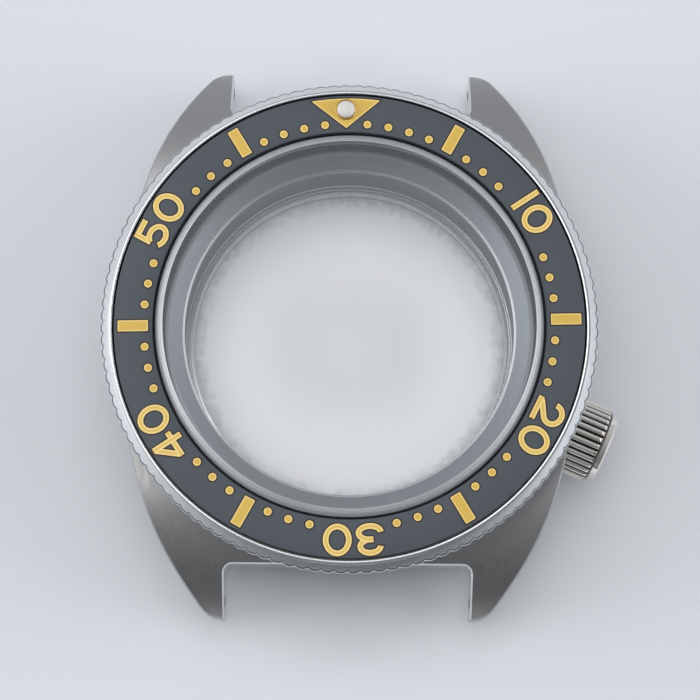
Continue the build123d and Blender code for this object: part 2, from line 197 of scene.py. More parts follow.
class Graph:
    def __init__(self, tree):
        self.tree = tree

    def node(self, kind, inputs=(), **settings):   # a new node with these settings and inputs
        made = self.tree.nodes.new(kind)
        for key, value in settings.items():
            setattr(made, key, value)
        for key, value in dict(inputs).items():
            self.feed(made.inputs[key], value)
        return made

    def take(self, kind, inputs=(), output=0, **settings):   # one output of such a node
        return Value(self, self.node(kind, inputs, **settings).outputs[output])

    def feed(self, socket, value):   # a link from another node, or a plain value
        source = value.socket if isinstance(value, Value) else value
        if isinstance(source, bpy.types.NodeSocket):
            self.tree.links.new(source, socket)
        else:
            socket.default_value = source

    def calc(self, operation, *values):
        return self.take("ShaderNodeMath", enumerate(values), operation=operation)

    def vectorCalc(self, operation, output, *values):
        return self.take("ShaderNodeVectorMath", enumerate(values), output, operation=operation)

    def split(self, vector):
        return [Value(self, part) for part in self.node("ShaderNodeSeparateXYZ", [(0, vector)]).outputs]

    def join(self, *values):
        return self.take("ShaderNodeCombineXYZ", enumerate(values))

    def radius(self, x, y):
        return (x * x + y * y).calc("SQRT")

    def lobeFall(self, x, y, count, depth, turn):   # how far a ring of convex lobes lies below its peaks here
        turns = (y.calc("ARCTAN2", x) - turn) / fullTurn
        phase = (turns * count + 100.5).calc("FRACT") - 0.5
        return phase * phase * 4.0 * depth


class Tree(Graph):
    def __init__(self, name, inputs):
        super().__init__(bpy.data.node_groups.new(name, "GeometryNodeTree"))
        face = self.tree.interface
        for label, kind in [("Geometry", "Geometry"), *inputs, ("Material", "Material")]:
            face.new_socket(name=label, in_out="INPUT", socket_type="NodeSocket" + kind)
        face.new_socket(name="Geometry", in_out="OUTPUT", socket_type="NodeSocketGeometry")
        self.inputs = self.node("NodeGroupInput").outputs

    def shrinkAcross(self, x, y, z, factor):   # every point nearer to Z by this factor
        place = self.join(x * factor, y * factor, z)
        moved = self.take("GeometryNodeSetPosition", {"Geometry": self.inputs["Geometry"], "Position": place})
        return self.finish(moved)

    def finish(self, geometrySocket):
        realized = self.take("GeometryNodeRealizeInstances", [(0, geometrySocket)])
        painted = self.take("GeometryNodeSetMaterial", {"Geometry": realized, "Material": self.inputs["Material"]})
        self.node("NodeGroupOutput", [(0, painted)])
        return self.tree


def grow(obj, tree, values):   # runs a tree on an object with these inputs and keeps the result as its mesh
    modifier = obj.modifiers.new(tree.name, "NODES")
    modifier.node_group = tree
    for item in tree.interface.items_tree:
        if item.in_out == "INPUT" and item.name in values:
            modifier[item.identifier] = values[item.name]
    return applyModifier(obj, modifier, obj.name)


def lobedEdgeTree():   # pushes a turned body's skin in to a ring of convex lobes that meet in sharp valleys
    t = Tree("lobedEdge", [(label, "Float") for label in ("Count", "Peak", "Depth", "Turn")])
    x, y, z = t.split(t.take("GeometryNodeInputPosition"))
    fall = t.lobeFall(x, y, t.inputs["Count"], t.inputs["Depth"], t.inputs["Turn"])
    share = t.calc("SUBTRACT", t.inputs["Peak"], fall) / t.radius(x, y).calc("MAXIMUM", tiny)
    return t.shrinkAcross(x, y, z, share.calc("MINIMUM", 1.0))


def threadTree():   # cuts a V thread into the part of a turned skin that lies at the crest radius
    t = Tree("thread", [(label, "Float") for label in ("Crest", "Low", "High", "Pitch", "Depth")])
    x, y, z = t.split(t.take("GeometryNodeInputPosition"))
    radius = t.radius(x, y)
    climb = z / t.inputs["Pitch"] - y.calc("ARCTAN2", x) / fullTurn
    wave = ((climb + 100.0).calc("FRACT") * 2.0 - 1.0).calc("ABSOLUTE")
    onCrest = (radius - t.inputs["Crest"]).calc("ABSOLUTE").calc("LESS_THAN", tiny)
    inside = z.calc("GREATER_THAN", t.inputs["Low"]) * z.calc("LESS_THAN", t.inputs["High"])
    sink = wave * t.inputs["Depth"] * (onCrest * inside)
    return t.shrinkAcross(x, y, z, t.calc("SUBTRACT", 1.0, sink / radius.calc("MAXIMUM", tiny)))


def ringTree(name, inputs, choose):   # repeats the object's own mesh round Z, at the places that choose picks
    t = Tree(name, [("Count", "Int"), *inputs, ("Turn", "Float")])
    line = t.take("GeometryNodeMeshLine", {"Count": t.inputs["Count"], "Offset": (0, 0, 0)})
    index = t.take("GeometryNodeInputIndex")
    angle = index * t.calc("DIVIDE", fullTurn, t.inputs["Count"]) + t.inputs["Turn"]
    return t.finish(t.take("GeometryNodeInstanceOnPoints", {
        "Points": line, "Selection": choose(t, index), "Instance": t.inputs["Geometry"],
        "Rotation": t.join(0.0, 0.0, angle)}))


def chosenMinutes(t, index):   # minutes this far from the middle of each ten, and the two beside twelve if wanted
    away = (index.calc("MODULO", 10.0) - 5.0).calc("ABSOLUTE")
    chosen = away.calc("GREATER_THAN", t.inputs["From Five"]) * away.calc("LESS_THAN", t.inputs["To Five"])
    half = t.calc("DIVIDE", t.inputs["Count"], 2.0)
    beside = (index - half).calc("ABSOLUTE").calc("COMPARE", half - 1.0, 0.1)
    return chosen.calc("MAXIMUM", beside * t.inputs["Beside Twelve"])


lobedEdge, threadCut = lobedEdgeTree(), threadTree()
minuteMarks = ringTree("minuteMarks", [("From Five", "Float"), ("To Five", "Float"), ("Beside Twelve", "Bool")],
                       chosenMinutes)
openerSlots = ringTree("openerSlots", [], lambda t, index: True)


# materials

class Finish(Graph):   # rough, bump: coordinates, fineness and amount of a grain; tint: fineness and colour of patches
    def __init__(self, name, color, metallic, roughness, rough=None, bump=None, tint=None, **sockets):
        self.material = bpy.data.materials.new(name)
        self.material.use_nodes = True
        super().__init__(self.material.node_tree)
        self.shader = self.tree.nodes["Principled BSDF"]
        self.color = (*color, 1.0)
        for key, value in dict(Base_Color=self.color, Metallic=metallic, Roughness=roughness, **sockets).items():
            self.shader.inputs[key.replace("_", " ")].default_value = value
        self.place = self.take("ShaderNodeTexCoord", output="Object")
        if rough:
            coordinates, scale, amount = rough
            low, high = roughness - amount, roughness + amount
            varied = self.ramp(self.noise(coordinates, scale), 0.3, 0.7, low, high, "LINEAR")
            self.feed(self.shader.inputs["Roughness"], varied)
        if bump:
            coordinates, scale, depth = bump
            self.feed(self.shader.inputs["Normal"], self.take("ShaderNodeBump", {
                "Height": self.noise(coordinates, scale), "Distance": depth * mm, "Strength": 1.0}))
        if tint:
            self.varyColor(self.noise("piece", tint[0]), tint[1])

    def noise(self, coordinates, scale, detail=3.0):   # brushed: along the lugs; rings: round Z, as lathe marks run
        vector = self.place
        if coordinates == "brushed":
            vector = self.take("ShaderNodeMapping", {"Vector": vector, "Scale": (1.0, 0.05, 1.0)})
        if coordinates == "rings":
            x, y, z = self.split(vector)
            vector = self.join(self.radius(x, y), z)
        return self.take("ShaderNodeTexNoise", {"Vector": vector, "Scale": scale, "Detail": detail}, "Fac")

    def ramp(self, value, low, high, toLow=0.0, toHigh=1.0, kind="SMOOTHSTEP"):
        return self.take("ShaderNodeMapRange", {"Value": value, "From Min": low, "From Max": high, "To Min": toLow,
                                                "To Max": toHigh}, interpolation_type=kind)

    def mixColors(self, factor, first, second):
        return self.take("ShaderNodeMix", {"Factor": factor, "A": first, "B": second}, "Result", data_type="RGBA")

    def varyColor(self, value, other):
        self.feed(self.shader.inputs["Base Color"], self.mixColors(value, self.color, (*other, 1.0)))


def turnedFinish(name, color, roughness):   # faint lathe rings
    return Finish(name, color, 1.0, roughness, ("rings", 6000, 0.06), ("rings", 6000, 0.001))


def plain(name, color, roughness, scale=1200, depth=0.002):
    return Finish(name, color, 0.0, roughness, ("piece", scale, 0.06), ("piece", scale, depth),
                  (scale / 6, tuple(c * 1.12 for c in color))).material


def giltPaint():   # a painted highlight: lighter along the edge of each mark
    f = Finish("giltPaint", (0.455, 0.295, 0.042), 0.0, 0.4, bump=("piece", 4000, 0.001))
    f.varyColor(f.take("ShaderNodeAttribute", output="Fac", attribute_name="rim"), (0.66, 0.50, 0.20))
    return f.material


brightSteel = (0.76, 0.765, 0.775)
satin = Finish("satinSteel", (0.43, 0.425, 0.425), 1.0, 0.36, ("brushed", 9000, 0.07), ("brushed", 9000, 0.0022),
               (130, (0.47, 0.46, 0.455))).material
innerShadedSteel = Finish("innerSteel", (0.235, 0.25, 0.272), 1.0, 0.38, ("rings", 5000, 0.08),
                    ("rings", 9000, 0.001)).material   # what is turned out of the mid case: duller, and darker steel as painted shade in the hollow
polished = Finish("polishedSteel", (0.66, 0.665, 0.675), 1.0, 0.13, ("piece", 1800, 0.04),
                  ("piece", 700, 0.0008)).material
lathed = turnedFinish("turnedSteel", brightSteel, 0.2).material
springSteel = turnedFinish("springSteel", (0.50, 0.50, 0.51), 0.3).material
giltMetal = turnedFinish("giltMetal", (0.80, 0.50, 0.16), 0.28).material
slate = Finish("slateInsert", (0.043, 0.051, 0.060), 0.0, 0.42, ("rings", 2600, 0.04), ("piece", 9000, 0.0008),
               (300, (0.049, 0.058, 0.068)), Specular_IOR_Level=0.3).material
glass = Finish("sapphire", (0.86, 0.90, 0.94), 0.0, 0.04, ("piece", 400, 0.01), Alpha=0.06, IOR=1.6).material
glassEdge = Finish("sapphireEdge", (0.60, 0.62, 0.645), 0.55, 0.27, ("rings", 4000, 0.05), ("piece", 2500, 0.0008),
                   Alpha=0.8).material   # the crystal's ground bevel, which mirrors what is round it
gilt = giltPaint()
# painted shadow: a near-black layer a little wider than each gilt mark
giltEdge = plain("giltEdge", (0.020, 0.011, 0.008), 0.6)
lume = plain("lume", (0.42, 0.42, 0.395), 0.3, 900, 0.001)
blackNylon = plain("blackNylon", (0.012, 0.013, 0.016), 0.55)
# near-black painted shade for the deep groove round the insert
grooveSteel = plain("grooveSteel", (0.02, 0.021, 0.023), 0.6)
rubber = plain("rubber", (0.018, 0.018, 0.019), 0.65, 2500, 0.004)
adhesive = plain("adhesive", (0.30, 0.29, 0.26), 0.7)
print("materials made")


# mid case

case = dict(
    halfWidth=18.45, shoulder=(17.8, 9.0), lugRoot=(15.2, 17.0), lugCorner=(11.95, 22.2), lugLean=36.3, lugReach=23.05,
    gapHalf=10.0, gapWall=18.8, gapCorner=0.7, tipRound=0.12,
    bottom=1.3, deckTop=7.6, deckHalfLength=12.0, knee=(17.2, 6.95), tipTop=4.0,
    footY=15.5, arch=(19.4, 1.65), heel=0.9, topPolish=0.12, underBevel=0.2,
    neckRadius=16.75, sealWall=16.67, holeRadius=0.5, holeDepth=1.2, holeY=21.61, holeZ=3.1,
    crownAngle=-23.0, crownZ=4.5, pocketFloor=18.7, pocketRadius=3.35, tubeHole=1.31, tubeFloor=15.99,
    stemHole=0.75, stemFloor=14.0,
    # radius and height of the neck, crystal seat, sloping rim, dial seat, cavity and the back's thread
    hollow=((16.75, 10.63), (16.63, 10.75), (15.96, 10.75), (15.96, 9.05), (14.6, 9.05), (13.56, 8.4),
            (13.4, 8.27), (13.4, 7.9), (14.35, 7.9), (14.35, 7.2), (14.9, 7.2), (14.9, 3.2), (15.9, 3.2),
            (15.9, 2.11), (16.67, 2.11)),
    brightRim=((13.4, 13.55), (8.2, 8.45)),   # where the foot of the sloping rim is polished
    circlePoints=360, topStep=0.45, underStep=0.8,
)
polishedFace, innerFace = 1, 2   # among the mid case's materials, after satin
c, s = polar(1, case["crownAngle"])
crownPlace = Matrix.Translation((0, 0, case["crownZ"] * mm)) @ Matrix((
    (0, s, c, 0), (0, -c, s, 0), (1, 0, 0, 0), (0, 0, 0, 1)))   # the crown's own Z points out of the case


def ellipseArc(cx, cy, rx, ry, fromDegrees, toDegrees, count=28):
    arc = (polar(1, a) for a in np.linspace(fromDegrees, toDegrees, count + 1))
    return [(cx + rx * c, cy + ry * s) for c, s in arc]


def tangentArc(start, end, heading, count):   # the arc that leaves start in this direction, and its last heading
    chord = Vector(end) - Vector(start)
    half = (math.atan2(chord.y, chord.x) - heading + math.pi) % fullTurn - math.pi
    points = []
    for k in range(count + 1):
        t = k / count
        reach = chord.length * (math.sin(half * t) / math.sin(half) if abs(half) > tiny else t)
        points.append((start[0] + reach * math.cos(heading + half * t),
                       start[1] + reach * math.sin(heading + half * t)))
    return points, heading + 2 * half


def straight(start, end, step=0.25):
    return evenly(start, end, max(1, round(math.dist(start, end) / step)) + 1)


def joinPaths(*paths):
    points = []
    for path in paths:
        points += [p for p in path if not points or math.dist(p, points[-1]) > 1e-4]
    return points


def smoothCurve(knots, startHeading, endHeading, step):   # cubic curve through the knots with these end directions
    knots = np.array(knots, float)
    spans = np.linalg.norm(np.diff(knots, axis=0), axis=1)
    last = len(knots) - 1
    matrix, rightSide = np.zeros((last + 1, last + 1)), np.zeros((last + 1, 2))
    matrix[0, 0] = matrix[last, last] = 1
    rightSide[0] = math.cos(startHeading), math.sin(startHeading)
    rightSide[last] = math.cos(endHeading), math.sin(endHeading)
    for i in range(1, last):
        a, b = spans[i - 1], spans[i]
        matrix[i, i - 1:i + 2] = b, 2 * (a + b), a
        rightSide[i] = 3 * (b / a * (knots[i] - knots[i - 1]) + a / b * (knots[i + 1] - knots[i]))
    speeds = np.linalg.solve(matrix, rightSide)
    points = [tuple(knots[0])]
    for i, span in enumerate(spans):
        count = round(span / step)
        for k in range(1, count + 1):
            t = k / count
            points.append(tuple((1 + 2 * t) * (1 - t) ** 2 * knots[i] + t * (1 - t) ** 2 * span * speeds[i]
                                + t * t * (3 - 2 * t) * knots[i + 1] + t * t * (t - 1) * span * speeds[i + 1]))
    return points


def caseOutline():   # seen from above, anticlockwise from 3 o'clock
    reach, gap, wallY, r, g = (case[key] for key in ("lugReach", "gapHalf", "gapWall", "tipRound", "gapCorner"))
    corner = case["lugCorner"]
    lean = math.radians(case["lugLean"])
    side = smoothCurve([(case["halfWidth"], 0), case["shoulder"], case["lugRoot"], corner],
                       math.pi / 2, math.pi / 2 + lean, 0.28)
    tipX = corner[0] - (reach - corner[1]) * math.tan(lean / 2 + math.pi / 4)
    tip, _ = tangentArc(side[-1], (tipX, reach), math.pi / 2 + lean, 12)
    tipInner = ellipseArc(gap + r, reach - r, r, r, 90, 180, 5)
    wall = straight((gap, reach - r), (gap, wallY + g))
    gapRound = ellipseArc(gap - g, wallY + g, g, g, 0, -90, 12)
    end = straight((gap - g, wallY), (0, wallY), 0.5)
    quarter = joinPaths(side, tip, straight(tip[-1], tipInner[0]), tipInner, wall, gapRound, end)
    upper = quarter + [(-x, y) for x, y in reversed(quarter[:-1])]
    return upper + [(x, -y) for x, y in reversed(upper[1:-1])]


def heightCurves():   # the side view: height of the top and of the underside along Y
    fall, heading = tangentArc((case["deckHalfLength"], case["deckTop"]), case["knee"], 0.0, 24)
    slope, _ = tangentArc(fall[-1], (case["lugReach"], case["tipTop"]), heading, 40)
    top = [(0, case["deckTop"])] + joinPaths(fall, slope)
    a, b, d = (Vector(p) for p in ((case["footY"], case["bottom"]), case["arch"], (case["lugReach"], case["heel"])))
    ab, bd = b - a, d - b
    abRise, bdRise = b.length_squared - a.length_squared, d.length_squared - b.length_squared
    cross = 2 * (ab.x * bd.y - ab.y * bd.x)
    ux, uy = (abRise * bd.y - bdRise * ab.y) / cross, (bdRise * ab.x - abRise * bd.x) / cross
    radius = math.dist((ux, uy), a)   # the arch is the circle through its foot, its top and the heel
    under = [(y, uy + math.copysign(math.sqrt(radius ** 2 - (y - ux) ** 2), b.y - uy))
             for y in np.linspace(case["footY"], case["lugReach"], 40)]
    return np.array(top), np.array([(0, case["bottom"]), *under])


topCurve, underCurve = heightCurves()


def topZ(y):
    return float(np.interp(abs(y), topCurve[:, 0], topCurve[:, 1]))


def underZ(y):
    return float(np.interp(abs(y), underCurve[:, 0], underCurve[:, 1]))


def inset(loop, distance):   # the loop moved inward by this distance, mitred
    result = []
    for before, here, after in neighbours(loop):
        e1, e2 = (here - before).normalized(), (after - here).normalized()
        n1, n2 = Vector((-e1.y, e1.x)), Vector((-e2.y, e2.x))
        result.append(tuple(here + (n1 + n2) * distance / (1 + n1.dot(n2))))
    return result


def insideLoop(points, loop):
    points, loop = np.asarray(points), np.asarray(loop)
    x, y = points[:, 0], points[:, 1]
    inside = np.zeros(len(points), bool)
    for (x1, y1), (x2, y2) in zip(loop, np.roll(loop, -1, 0)):
        crosses = (y1 > y) != (y2 > y)
        with np.errstate(divide="ignore", invalid="ignore"):
            inside ^= crosses & (x < (x2 - x1) * (y - y1) / (y2 - y1) + x1)
    return inside


def capBetween(outer, ringRadius, ringCount, step):   # flat triangles between an outer loop and a circle
    clear, halfLength, halfWidth = 0.6 * step, 24, 20
    ringPoints = [polar(ringRadius, 360 * i / ringCount) for i in range(ringCount)]
    grid = [(x, y) for y in np.arange(-halfLength, halfLength, step) for x in np.arange(-halfWidth, halfWidth, step)
            if math.hypot(x, y) > ringRadius + clear]
    keep = insideLoop(grid, inset(outer, clear)) & insideLoop(grid, outer)
    grid = [p for p, k in zip(grid, keep) if k]
    points = [Vector(p) for p in outer + ringPoints + grid]
    count = len(outer)
    edges = [(i, (i + 1) % count) for i in range(count)]
    edges += [(count + i, count + (i + 1) % ringCount) for i in range(ringCount)]
    made, _, faces, *_ = geometry.delaunay_2d_cdt(points, edges, [], 0, 1e-7)
    middles = [sum((made[i] for i in f), Vector((0, 0))) / len(f) for f in faces]
    keep = insideLoop([tuple(m) for m in middles], outer)
    least = ringRadius * math.cos(math.pi / ringCount) - tiny
    return [tuple(p) for p in made], [f for f, m, k in zip(faces, middles, keep) if k and m.length > least]


def midCaseMesh():
    ringCount, polish, bevel = case["circlePoints"], case["topPolish"], case["underBevel"]
    outline = caseOutline()
    topLoop, underLoop = inset(outline, polish), inset(outline, bevel)
    circle = [polar(1, 360 * i / ringCount) for i in range(ringCount)]
    points, faces = [], []

    def addLoop(loop, height):
        start = len(points)
        points.extend((x, y, height(y)) for x, y in loop)
        return list(range(start, len(points)))

    def addCircle(radius, height):
        return addLoop([(radius * x, radius * y) for x, y in circle], height)

    def addBands(*loops):
        for a, b in zip(loops, loops[1:]):
            faces.extend(bandFaces(a, b))

    def addCap(loop, radius, step, height):
        capPoints, capFaces = capBetween(loop, radius, ringCount, step)
        start = len(points)
        points.extend((x, y, height(y)) for x, y in capPoints)
        faces.extend(tuple(start + i for i in f) for f in capFaces)

    addCap(topLoop, case["neckRadius"], case["topStep"], topZ)
    addBands(addLoop(topLoop, topZ), addLoop(outline, lambda y: topZ(y) - polish),
             addLoop(outline, lambda y: underZ(y) + bevel), addLoop(underLoop, underZ))
    addCap(underLoop, case["sealWall"], case["underStep"], underZ)
    rows = [addCircle(case["neckRadius"], topZ)]
    rows += [addCircle(r, lambda y, z=z: z) for r, z in case["hollow"]]
    addBands(*rows, addCircle(case["sealWall"], underZ))
    return rawMesh("midCase", points, faces, [satin, polished, innerShadedSteel])


def bar(radius, low, high, place, segments):   # a round bar to cut a bore with, which leaves it polished
    mesh = turnedMesh("bar", box(0, radius, low, high), segments, satin)
    mesh.materials.append(polished)
    finishMesh(mesh, place)
    for face in mesh.polygons:
        face.material_index = polishedFace
    return newObject("bar", mesh)


def finishOfFace(centre, flat):   # polished: the gaps' walls and bevels; the darker inner steel, painted shade: all that is turned
    x, y, radius = abs(centre.x), abs(centre.y), math.hypot(centre.x, centre.y)
    (rimInner, rimOuter), (rimLow, rimHigh) = case["brightRim"]
    if rimInner < radius < rimOuter and rimLow < centre.z < rimHigh:
        return polishedFace
    if radius < case["neckRadius"] + 0.02:
        return innerFace
    bevel = 0.35 < flat < 0.93 and x < case["gapHalf"] + 0.1 and y > case["gapWall"] - 0.1
    wall = flat < 0.35 and x < case["gapHalf"] + 0.02 and y > case["gapWall"] - 0.02
    return polishedFace if bevel or wall else None


midMesh = midCaseMesh()
finishMesh(midMesh)
midCase = newObject("midCase", midMesh)
past = 0.5   # cutters reach this far into the space before them
for radius, low, high, segments in (
        (case["pocketRadius"], case["pocketFloor"], case["lugReach"], 128),
        (case["tubeHole"], case["tubeFloor"], case["pocketFloor"] + past, 48),
        (case["stemHole"], case["stemFloor"], case["tubeFloor"] + past, 48)):
    cut(midCase, bar(radius, low, high, crownPlace, segments))
for side in (1, -1):
    for end in (1, -1):
        holePlace = Matrix.Translation((0, end * case["holeY"] * mm, case["holeZ"] * mm))
        across = holePlace @ Matrix.Rotation(side * math.pi / 2, 4, "Y")
        cut(midCase, bar(case["holeRadius"], case["gapHalf"] - past, case["gapHalf"] + case["holeDepth"],
                         across, 32))
for face in midCase.data.polygons:
    finish = finishOfFace(face.center / mm, abs(face.normal.z))
    if finish is not None:
        face.material_index = finish
settle(midCase, "case", ["mid_case"])
print("mid case made:", len(midCase.data.polygons), "faces")


# crystal, its gasket and the rubber rings

crystal = dict(radius=15.5, bottom=9.35, top=12.35, bevel=0.62, soft=0.06)
seat = dict(inner=14.9, gap=15.51, outer=15.95, bottom=9.05, top=10.7)
rubberRings = dict(   # radius and section of the ring, its height, body, CAD node, place and smoothness
    bezelGasket=(16.81, 0.8, 9.1, "case", "bezel_gasket", None, 192),
    casebackSeal=(16.26, 0.8, 1.7, "caseback_slider", "caseback_seal", None, 192),
    crownGasket=(1.6, 0.5, 19.6, "crown_slider", "crown_gasket", crownPlace, 64),
)
glassMesh = turnedMesh("crystal", [
    (0, crystal["bottom"]), (crystal["radius"], crystal["bottom"]),
    (crystal["radius"], crystal["top"] - crystal["bevel"]), (crystal["radius"] - crystal["bevel"], crystal["top"]),
    (0, crystal["top"])], 256, glass, crystal["soft"])
glassMesh.materials.append(glassEdge)
finishMesh(glassMesh)
for face in glassMesh.polygons:
    if abs(face.normal.z) < 0.95:
        face.material_index = 1
dress(newObject("crystal", glassMesh), "case", ["crystal"])
turned("crystalGasket", [
    (seat["inner"], seat["bottom"]), (seat["outer"], seat["bottom"]), (seat["outer"], seat["top"]),
    (seat["gap"], seat["top"]), (seat["gap"], crystal["bottom"]), (seat["inner"], crystal["bottom"])],
    blackNylon, "case", ["crystal_gasket"])
for name, (radius, section, height, body, node, place, segments) in rubberRings.items():
    outline = ellipseArc(radius, height, section / 2, section / 2, 0, 360, 16)[:-1]
    turned(name, outline, rubber, body, [node], 0, segments, place)


# bezel: lobed ring, insert with its marks, and the pip

bezelTurn = 1.4   # degrees, as it was left
bezel = dict(bore=16.8, bottom=7.8, radius=19.93, lobes=120, lobeDepth=0.17, lobePoints=14, floor=11.0, recess=18.92,
             lipTop=11.98, lipRound=0.06, lipArch=0.01, crestOuter=19.15, lipOuter=19.23, shoulderTop=11.95,
             shoulderOuter=19.9, shoulderLow=11.25, lipFoot=(19.2, 11.97), wallRows=(11.21, 10.2, 9.2),
             footBevel=0.35, taper=0.25)
# painted shade: a dark line along the bezel's lobes, in place of the shadow at their edge
lobeShadeLine = dict(color=(0.15, 0.155, 0.16), inside=0.1, halfWidth=0.06, core=0.03, below=0.15)
turnAngle = math.radians(bezelTurn)
turnPlace = Matrix.Rotation(turnAngle, 4, "Z")


def bezelSteel():   # bright, with a painted shade line on top that follows the lobes just inside their edge
    f = turnedFinish("bezelSteel", brightSteel, 0.2)
    x, y, z = f.split(f.place)
    fall = f.lobeFall(x, y, float(bezel["lobes"]), bezel["lobeDepth"] * mm, turnAngle)
    inside = f.calc("SUBTRACT", bezel["radius"] * mm, fall) - f.radius(x, y)
    away = (inside - lobeShadeLine["inside"] * mm).calc("ABSOLUTE")
    onTop = z.calc("GREATER_THAN", (bezel["shoulderLow"] - lobeShadeLine["below"]) * mm)
    f.varyColor(onTop * f.ramp(away, lobeShadeLine["halfWidth"] * mm, lobeShadeLine["core"] * mm), lobeShadeLine["color"])
    return f.material


def bezelRingMesh(material):
    b = bezel
    rise, bevel, recess, lipOuter, lipTop = b["lipRound"], b["footBevel"], b["recess"], b["lipOuter"], b["lipTop"]
    slope = evenly((lipOuter, b["shoulderTop"]), (b["shoulderOuter"], b["shoulderLow"]), 9)
    foot = evenly((b["radius"] - bevel, b["bottom"]), (b["radius"], b["bottom"] + bevel), 6)
    lip = [(recess + rise * (1 - math.cos(a)), lipTop - rise * (1 - math.sin(a)))
           for a in np.linspace(0, math.pi / 2, 7)]
    middle, halfCrest = (recess + rise + b["crestOuter"]) / 2, (b["crestOuter"] - recess - rise) / 2
    lip += [(middle + halfCrest * t, lipTop + b["lipArch"] * (1 - t * t)) for t in np.linspace(-1, 1, 7)[1:]]
    wall = [(b["radius"], z) for z in b["wallRows"]]
    outline = [(recess, b["floor"]), *lip, b["lipFoot"], *slope[1:], *wall, *reversed(foot), (b["bore"], b["bottom"]),
               (b["bore"], b["floor"])]
    return turnedMesh("bezelRing", list(reversed(outline)), b["lobes"] * b["lobePoints"], material)


bezelMetal = bezelSteel()
bezelRing = newObject("bezelRing", bezelRingMesh(bezelMetal))
grow(bezelRing, lobedEdge, {"Count": float(bezel["lobes"]), "Peak": bezel["radius"] * mm,
                            "Depth": bezel["lobeDepth"] * mm, "Turn": turnAngle, "Material": bezelMetal})
for vertex in bezelRing.data.vertices:   # the edge leans in towards its foot
    low = max(0.0, bezel["shoulderLow"] * mm - vertex.co.z) / (bezel["shoulderLow"] - bezel["bottom"]) / mm
    if vertex.co.xy.length > (bezel["recess"] + 0.1) * mm and low > 0:
        vertex.co.xy *= 1 - low * bezel["taper"] / bezel["radius"]
finishMesh(bezelRing.data)
bezelRing.data.materials.append(grooveSteel)
for face in bezelRing.data.polygons:   # the deep groove round the insert gets near-black painted shade
    if face.center.xy.length < (bezel["recess"] + 0.005) * mm and face.center.z > (bezel["floor"] - 0.01) * mm:
        face.material_index = 1
dress(bezelRing, "bezel", ["bezel_ring"])

insert = dict(inner=15.71, outer=18.76, bottom=11.1, top=12.0, soft=0.06)
turned("bezelInsert", box(insert["inner"], insert["outer"], insert["bottom"], insert["top"]), slate, "bezel",
       ["bezel_insert"], insert["soft"], 320)

marks = dict(dotCircle=16.4, dotRadius=0.315, barInner=16.05, barOuter=18.45, barWidth=0.88, lift=0.012, edge=0.11,
             edgeLift=0.006, sink=0.02, thinEdge=0.12, numeralBase=16.02, numeralHeight=2.54, stroke=0.44,
             space=0.36, spaceByOne=0.12, digitLean=0.55, triangleTip=16.05, triangleTop=18.52, triangleHalf=8.6)
layers = ((giltEdge, insert["top"] + marks["edgeLift"], marks["edge"], "Edge"),   # gilt paint over a wider dark layer, a painted shadow round each mark
          (gilt, insert["top"] + marks["lift"], 0.0, ""))


def markMesh(name, points, faces, rimHighlights, material):
    mesh = rawMesh(name, points, faces, [material])
    values = mesh.attributes.new("rim", "FLOAT", "POINT")
    values.data.foreach_set("value", rimHighlights)
    return mesh


def fanMesh(name, border, height, extra, material):   # a flat mark with a fine slope down to the insert
    count = len(border)
    centre = (sum(x for x, y in border) / count, sum(y for x, y in border) / count)
    wide = [tuple(Vector(p) + (Vector(p) - Vector(q))) for p, q in zip(border, inset(border, extra + 1e-4))]
    top = inset(border, marks["thinEdge"]) if material is gilt else border
    points = [(*centre, height)] + [(x, y, height) for x, y in top + wide]
    points += [(x, y, insert["top"] - marks["sink"]) for x, y in wide]
    faces = [(0, 1 + i, 1 + (i + 1) % count) for i in range(count)]
    for row in (1, 1 + count):
        below = row + count
        faces += [(row + i, below + i, below + (i + 1) % count, row + (i + 1) % count) for i in range(count)]
    # the border points carry the painted highlight
    rimHighlights = [0.0] * (1 + count) + [1.0] * (2 * count)
    return markMesh(name, points, faces, rimHighlights, material)


def ribbonMesh(name, strokes, width, height, material):   # numerals: flat strokes of one width
    crossSection = ((-0.5, 1, 1.0), (-0.5, 0, 1.0), (0, 0, 0.0), (0.5, 0, 1.0), (0.5, 1, 1.0))   # offset, drop, rim
    points, faces, rimHighlights = [], [], []
    for layer, (path, closed) in enumerate(strokes):
        count, start = len(path), len(points)
        z = height + 0.0006 * layer   # strokes that cross don't flicker
        longer = [path[-1], *path, path[0]] if closed else [path[0], *path, path[-1]]
        spots = [Vector(p) for p in longer]
        for i, (before, here, after) in enumerate(zip(spots, spots[1:], spots[2:])):
            along = (after - before).normalized()
            side = Vector((-along.y, along.x))
            extra = 0.0 if closed or 0 < i < count - 1 else (width - marks["stroke"]) / 2
            base = here + along * (extra if i else -extra)
            for offset, drop, rim in crossSection:
                x, y = base + side * width * offset
                points.append((x, y, insert["top"] - marks["sink"] if drop else z))
                rimHighlights.append(rim)
        for i in range(count if closed else count - 1):
            for k in range(4):
                a, b = start + 5 * i + k, start + 5 * ((i + 1) % count) + k
                faces.append((a, b, b + 1, a + 1))
    return markMesh(name, points, faces, rimHighlights, material)


